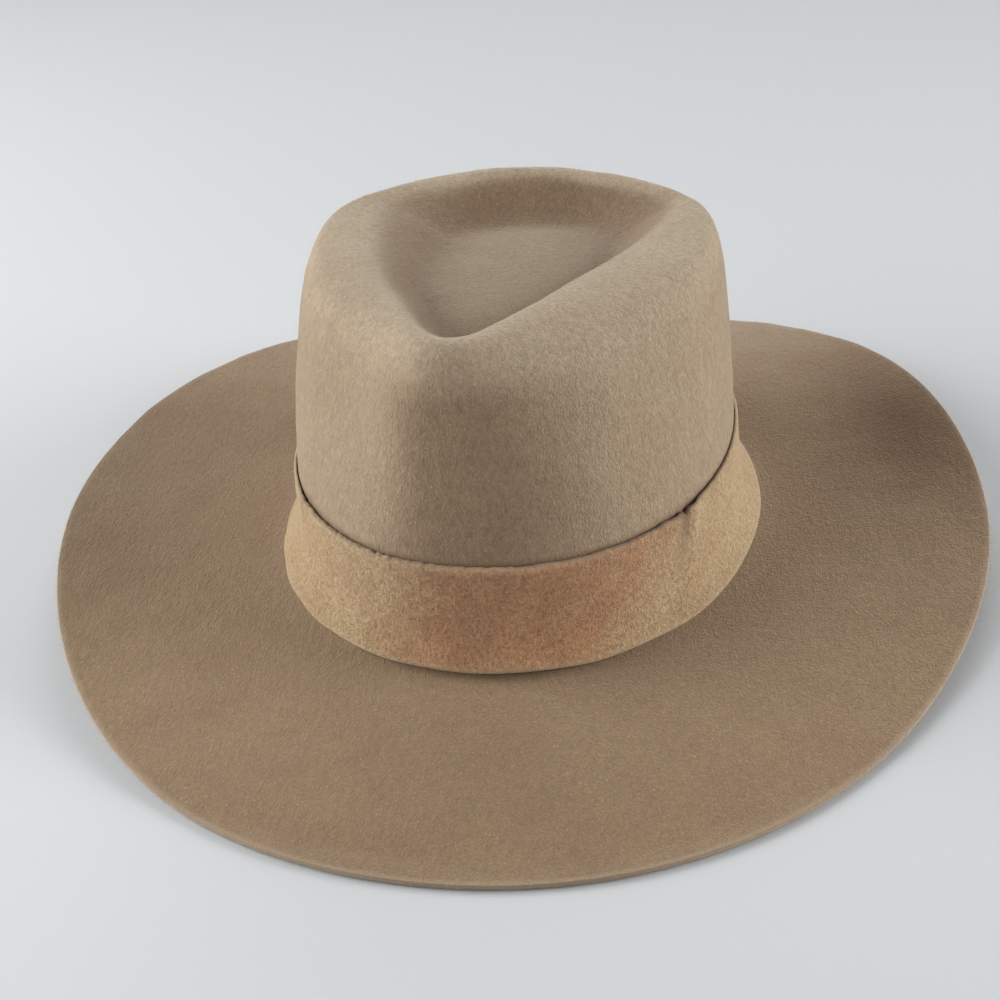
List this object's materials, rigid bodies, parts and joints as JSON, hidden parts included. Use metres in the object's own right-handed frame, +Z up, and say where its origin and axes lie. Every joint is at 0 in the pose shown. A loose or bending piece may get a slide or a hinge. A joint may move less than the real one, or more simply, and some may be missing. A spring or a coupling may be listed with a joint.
{
  "type": "rancher hat",
  "caption": "Wide-brimmed felt rancher hat with a teardrop crown, pinched front and flared suede band.",
  "frame": {"origin": "middle of the hat's outline, on the surface that the brim rests on", "axes": "+Z up through the crown, the wearer's front towards -Y, the wearer's left towards +X"},
  "size_m": [0.3688, 0.4084, 0.1354],
  "materials": {
    "felt": "matte wool felt with a short nap",
    "suede": "matte napped suede"
  },
  "bodies": {
    "root": {"felt_body": "felt", "suede_band": "suede"}
  },
  "joints": []
}
